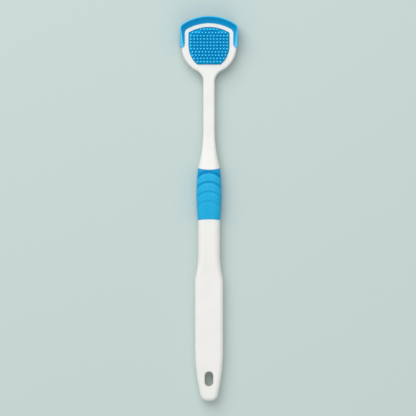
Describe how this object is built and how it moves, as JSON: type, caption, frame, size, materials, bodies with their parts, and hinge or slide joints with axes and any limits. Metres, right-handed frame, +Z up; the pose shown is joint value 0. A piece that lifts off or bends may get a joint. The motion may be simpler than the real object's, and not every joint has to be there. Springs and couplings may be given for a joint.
{
  "type": "tongue scraper",
  "caption": "Slim hand tool for cleaning the tongue: a stiff handle with a soft grip and a rounded head that carries a studded pad inside a raised soft scraping lip.",
  "frame": {"origin": "below the middle of the tool's length, on the surface that it lies on", "axes": "+Y runs along the tool from the tail to the head, +Z points up out of the studded face, +X to the right"},
  "size_m": [0.029, 0.1922, 0.009],
  "materials": {
    "white_plastic": "satin moulded polypropylene",
    "blue_soft_grip": "satin soft thermoplastic rubber",
    "blue_soft_pad": "satin soft thermoplastic rubber",
    "blue_soft_blade": "satin soft thermoplastic rubber"
  },
  "bodies": {
    "root": {"handle": "white_plastic", "grip_sleeve": "blue_soft_grip", "bristle_pad": "blue_soft_pad", "scraper_blade": "blue_soft_blade"}
  },
  "joints": []
}
